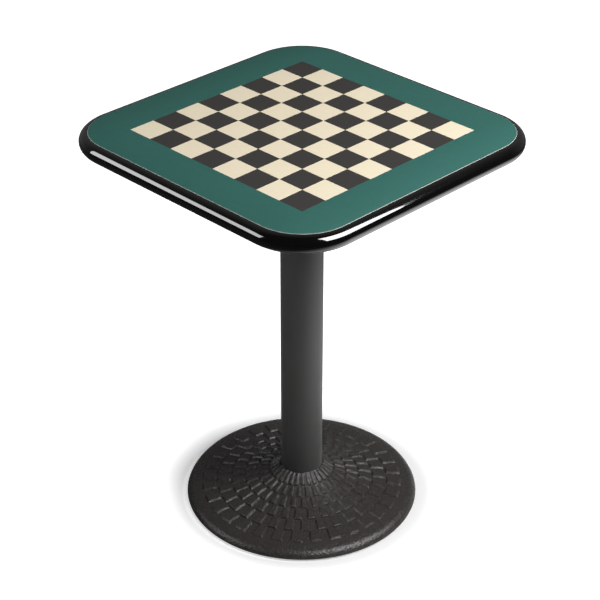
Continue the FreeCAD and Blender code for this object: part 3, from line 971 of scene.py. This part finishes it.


# Floor, light and camera: places and sizes in metres, angles in degrees

# Middles of the floor's painted light round the foot, each a little off the axis: the ramp to white, and the
# glow close to the rim
SHADOW_MIDDLE = (0.0057, -0.0057, 0.0)
RIM_MIDDLE = (-0.006, 0.006, 0.0)
POOL_MIDDLE = (0.6, -0.6, 0.0)
SOFTBOXES = {
    "key": {"place": (0.452, -1.298, 1.973), "normal": (0.191, -0.809, 0.555), "roll": -8.9,
            "width": 1.451, "height": 1.192},
    "fill": {"place": (-1.700, 1.137, 1.308), "normal": (-0.591, 0.668, 0.452), "roll": 5.6,
             "width": 1.252, "height": 0.902},
}
FLAG = {"place": (-0.497, 0.335), "facing": 146, "width": 0.8, "height": 0.48}
CAMERA_PLACE = (-1.8148, -1.8125, 1.9748)
CAMERA_TURN, CAMERA_RISE, CAMERA_ROLL = -44.962, 31.275, 0.082


def faced(normal, roll):
    """Turn of a panel or camera whose own Z axis points along a direction, rolled about it by degrees."""
    roll = math.radians(roll)
    back = Vector(normal).normalized()
    right = Vector((0, 0, 1)).cross(back).normalized()
    up = back.cross(right)
    sideways = right * math.cos(roll) + up * math.sin(roll)
    upwards = up * math.cos(roll) - right * math.sin(roll)
    return Matrix((sideways, upwards, back)).transposed().to_euler()


def softbox(name, place, normal, roll, width, height, radiance):
    """Rectangular studio light that shines against its normal."""
    bpy.ops.object.select_all(action="DESELECT")
    bpy.ops.object.light_add(type="AREA", location=place, rotation=faced(normal, roll))
    lamp = bpy.context.object
    lamp.name = name
    lamp.data.shape = "RECTANGLE"
    lamp.data.size = width
    lamp.data.size_y = height
    lamp.data.energy = radiance * math.pi * width * height


def seen_ray(tree):
    """1 for the rays that look at something, straight, mirrored or through glass, and 0 for the others."""
    rays = add(tree, "ShaderNodeLightPath")
    seen = add(tree, "ShaderNodeMath", {0: rays.outputs["Is Camera Ray"], 1: rays.outputs["Is Glossy Ray"]},
               operation="ADD")
    return add(tree, "ShaderNodeMath", {0: seen.outputs["Value"], 1: rays.outputs["Is Transmission Ray"]},
               operation="ADD").outputs["Value"]


def bare(name):
    """New material with an empty node tree and its output."""
    material = bpy.data.materials.new(name)
    material.use_nodes = True
    material.node_tree.nodes.clear()
    return material, material.node_tree, add(material.node_tree, "ShaderNodeOutputMaterial")


def white_sweep(stage):
    """Matt white paper, white to the eye by a painted glow that fills the rim's contact shadow and is weaker
    round the foot, so its shadow shows.
    """
    material, tree, output = bare("white_sweep")
    paper = add(tree, "ShaderNodeBsdfDiffuse", {"Color": tuple(stage.floor_colour) + (1,)})
    place = add(tree, "ShaderNodeTexCoord").outputs["Object"]
    reach = add(tree, "ShaderNodeVectorMath", {0: place, 1: SHADOW_MIDDLE}, operation="DISTANCE")
    rim = add(tree, "ShaderNodeVectorMath", {0: place, 1: RIM_MIDDLE}, operation="DISTANCE")
    # Painted light close to the rim, where its contact shadow falls, then a painted ramp out to the white
    # floor
    near = add(tree, "ShaderNodeMapRange", {
        "Value": rim.outputs["Value"], "From Min": stage.contact, "From Max": stage.contact_end,
        "To Min": stage.painted_contact_glow, "To Max": stage.painted_near_glow})
    far = add(tree, "ShaderNodeMapRange", {
        "Value": reach.outputs["Value"], "From Min": stage.shadow_start, "From Max": stage.shadow_end,
        "To Max": stage.glow - stage.painted_near_glow})
    glow = add(tree, "ShaderNodeMath", {0: near.outputs["Result"], 1: far.outputs["Result"]}, operation="ADD")
    strength = add(tree, "ShaderNodeMath", {0: seen_ray(tree), 1: glow.outputs["Value"]},
                   operation="MULTIPLY")
    light = add(tree, "ShaderNodeEmission", {"Strength": strength.outputs["Value"]})
    both = add(tree, "ShaderNodeAddShader", {0: paper.outputs["BSDF"], 1: light.outputs["Emission"]})
    tree.links.new(both.outputs["Shader"], output.inputs["Surface"])
    return material


def studio_lining(stage):
    """Black felt, thin near the key, where the lit floor shows through, and a grey wall behind the table
    whose glow is painted light that only reflections see.
    """
    material, tree, output = bare("studio_lining")
    clear = add(tree, "ShaderNodeBsdfTransparent")
    place = add(tree, "ShaderNodeTexCoord").outputs["Object"]
    behind = add(tree, "ShaderNodeVectorMath", {0: place, 1: (1.0, 1.0, 0.0)}, operation="DOT_PRODUCT")
    wall = add(tree, "ShaderNodeMapRange", {"Value": behind.outputs["Value"], "From Min": 0.0,
                                            "From Max": stage.shell, "To Max": stage.wall})
    # painted light: towards the back the felt glows as a grey wall, a faint painted sheen that only
    # reflections see
    felt = add(tree, "ShaderNodeEmission", {"Strength": wall.outputs["Result"]})
    reach = add(tree, "ShaderNodeVectorMath", {0: place, 1: POOL_MIDDLE}, operation="DISTANCE")
    pool_core, full_cover = 0.1, 0.98
    cover = add(tree, "ShaderNodeMapRange", {
        "Value": reach.outputs["Value"], "From Min": pool_core, "From Max": stage.pool_radius,
        "To Min": 1 - stage.pool, "To Max": full_cover}, interpolation_type="SMOOTHSTEP")
    mix = add(tree, "ShaderNodeMixShader", {"Fac": cover.outputs["Result"], 1: clear.outputs["BSDF"],
                                            2: felt.outputs["Emission"]})
    tree.links.new(mix.outputs["Shader"], output.inputs["Surface"])
    return material


def studio_air(stage):
    """World that is white to the eye and sheds a dim light."""
    world = bpy.data.worlds.new("studio_air")
    bpy.context.scene.world = world
    world.use_nodes = True
    tree = world.node_tree
    tree.nodes.clear()
    strength = add(tree, "ShaderNodeMapRange", {"Value": seen_ray(tree), "To Min": stage.dim,
                                                "To Max": stage.glow})
    air = add(tree, "ShaderNodeBackground", {"Color": (1, 1, 1, 1), "Strength": strength.outputs["Result"]})
    output = add(tree, "ShaderNodeOutputWorld")
    tree.links.new(air.outputs["Background"], output.inputs["Surface"])


def shown_only_to(piece, kind):
    """Hide a piece of the set from every kind of ray but one."""
    for ray in ("camera", "diffuse", "glossy", "transmission", "shadow", "volume_scatter"):
        setattr(piece, "visible_" + ray, ray == kind)


def dark_studio(stage):
    """Dark room round the sweep, which only reflections see: black resin shows the room and the softboxes."""
    room = begun("dark_studio", bpy.ops.mesh.primitive_uv_sphere_add, segments=48, ring_count=24,
                 radius=stage.shell, location=(0, 0, 0))
    above_floor = (0, 0, 0.0005)
    bpy.ops.mesh.bisect(plane_co=above_floor, plane_no=(0, 0, 1), clear_inner=True, use_fill=True)
    bpy.ops.object.mode_set(mode="OBJECT")
    room.data.materials.append(studio_lining(stage))
    shown_only_to(room, "glossy")


def flag(place, facing, width, height):
    """Upright black card on the floor that keeps a softbox's light off the foot; only shadows show it."""
    centre = (place[0], place[1], height / 2)
    card = begun("flag", bpy.ops.mesh.primitive_plane_add, size=1, location=centre,
                 rotation=(math.pi / 2, 0, math.radians(facing) + math.pi / 2))
    bpy.ops.transform.resize(value=(width, width, height), center_override=centre)
    bpy.ops.object.mode_set(mode="OBJECT")
    material, tree, output = bare("black_card")
    black = add(tree, "ShaderNodeBsdfDiffuse", {"Color": (0, 0, 0, 1)})
    tree.links.new(black.outputs["BSDF"], output.inputs["Surface"])
    card.data.materials.append(material)
    shown_only_to(card, "shadow")


class GAMES_TABLE_OT_stage(bpy.types.Operator):
    """White floor, two softboxes, a flag, a dark studio and the camera"""

    bl_idname = "games_table.stage"
    bl_label = "Stage"

    def execute(self, context):
        stage = context.scene.games_table_stage
        bpy.ops.object.select_all(action="DESELECT")
        bpy.ops.mesh.primitive_plane_add(size=80, location=(0, 0, 0))
        floor = bpy.context.object
        floor.name = "floor"
        floor.data.materials.append(white_sweep(stage))
        studio_air(stage)
        dark_studio(stage)
        softbox("key_softbox", radiance=stage.key, **SOFTBOXES["key"])
        softbox("fill_softbox", radiance=stage.fill, **SOFTBOXES["fill"])
        flag(**FLAG)
        turn, rise = math.radians(CAMERA_TURN), math.radians(CAMERA_RISE)
        back = (math.sin(turn) * math.cos(rise), -math.cos(turn) * math.cos(rise), math.sin(rise))
        bpy.ops.object.select_all(action="DESELECT")
        bpy.ops.object.camera_add(location=CAMERA_PLACE, rotation=faced(back, CAMERA_ROLL))
        camera = bpy.context.object
        camera.name = "camera"
        camera.data.sensor_width = 36.0
        camera.data.lens = stage.lens
        context.scene.camera = camera
        context.scene.view_settings.view_transform = "Standard"
        return {"FINISHED"}


STEPS = (GAMES_TABLE_OT_stage, GAMES_TABLE_OT_field, GAMES_TABLE_OT_board, GAMES_TABLE_OT_edge,
         GAMES_TABLE_OT_core, GAMES_TABLE_OT_spider, GAMES_TABLE_OT_column, GAMES_TABLE_OT_tie_rod,
         GAMES_TABLE_OT_foot, GAMES_TABLE_OT_glides)


class GAMES_TABLE_PT_panel(bpy.types.Panel):
    """The table's pieces and settings"""

    bl_idname = "GAMES_TABLE_PT_panel"
    bl_label = "Games table"
    bl_space_type = "VIEW_3D"
    bl_region_type = "UI"
    bl_category = "Games table"

    def draw(self, context):
        for step in STEPS:
            self.layout.operator(step.bl_idname)
        for group, settings in GROUPS.items():
            box = self.layout.box()
            for name in settings.__annotations__:
                box.prop(getattr(context.scene, group), name)


def register():
    for group, settings in GROUPS.items():
        bpy.utils.register_class(settings)
        setattr(bpy.types.Scene, group, bpy.props.PointerProperty(type=settings))
    for kind in STEPS + (GAMES_TABLE_PT_panel,):
        bpy.utils.register_class(kind)


def unregister():
    for kind in reversed(STEPS + (GAMES_TABLE_PT_panel,)):
        bpy.utils.unregister_class(kind)
    for group, settings in reversed(GROUPS.items()):
        delattr(bpy.types.Scene, group)
        bpy.utils.unregister_class(settings)


def main():
    register()
    for step in STEPS:
        getattr(bpy.ops.games_table, step.bl_idname.split(".")[1])()


if __name__ == "__main__":
    main()
